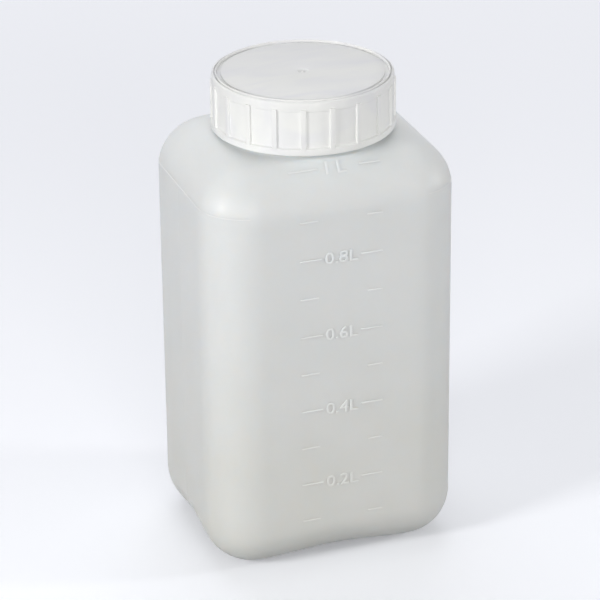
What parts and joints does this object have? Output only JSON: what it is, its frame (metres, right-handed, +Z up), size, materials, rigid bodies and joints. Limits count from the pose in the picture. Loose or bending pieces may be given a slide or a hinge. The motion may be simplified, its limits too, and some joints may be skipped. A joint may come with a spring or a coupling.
{
  "type": "reagent bottle",
  "caption": "Rectangular wide-mouth plastic reagent bottle with a moulded litre scale, rounded shoulder, arched base and ribbed screw cap.",
  "frame": {"origin": "on the ground under the middle of the base", "axes": "+Z up along the neck, graduated front face towards -Y, width along X"},
  "size_m": [0.095, 0.0786, 0.1793],
  "materials": {
    "natural_hdpe": "satin, translucent, blow-moulded",
    "white_polypropylene": "satin, injection-moulded",
    "foam_liner": "matte, closed-cell foam"
  },
  "bodies": {
    "bottle": {"bottle": "natural_hdpe"},
    "liner": {"liner": "foam_liner"},
    "cap": {"screw_cap": "white_polypropylene"}
  },
  "joints": [
    {"name": "cap_lift", "type": "slide", "parent": "bottle", "child": "liner", "axis": [0, 0, 1], "range_m": [0, 0.06]},
    {"name": "cap_turn", "type": "hinge", "parent": "liner", "child": "cap", "pos_m": [0, 0, 0.1588], "axis": [0, 0, 1], "range_deg": [0, 360]}
  ]
}
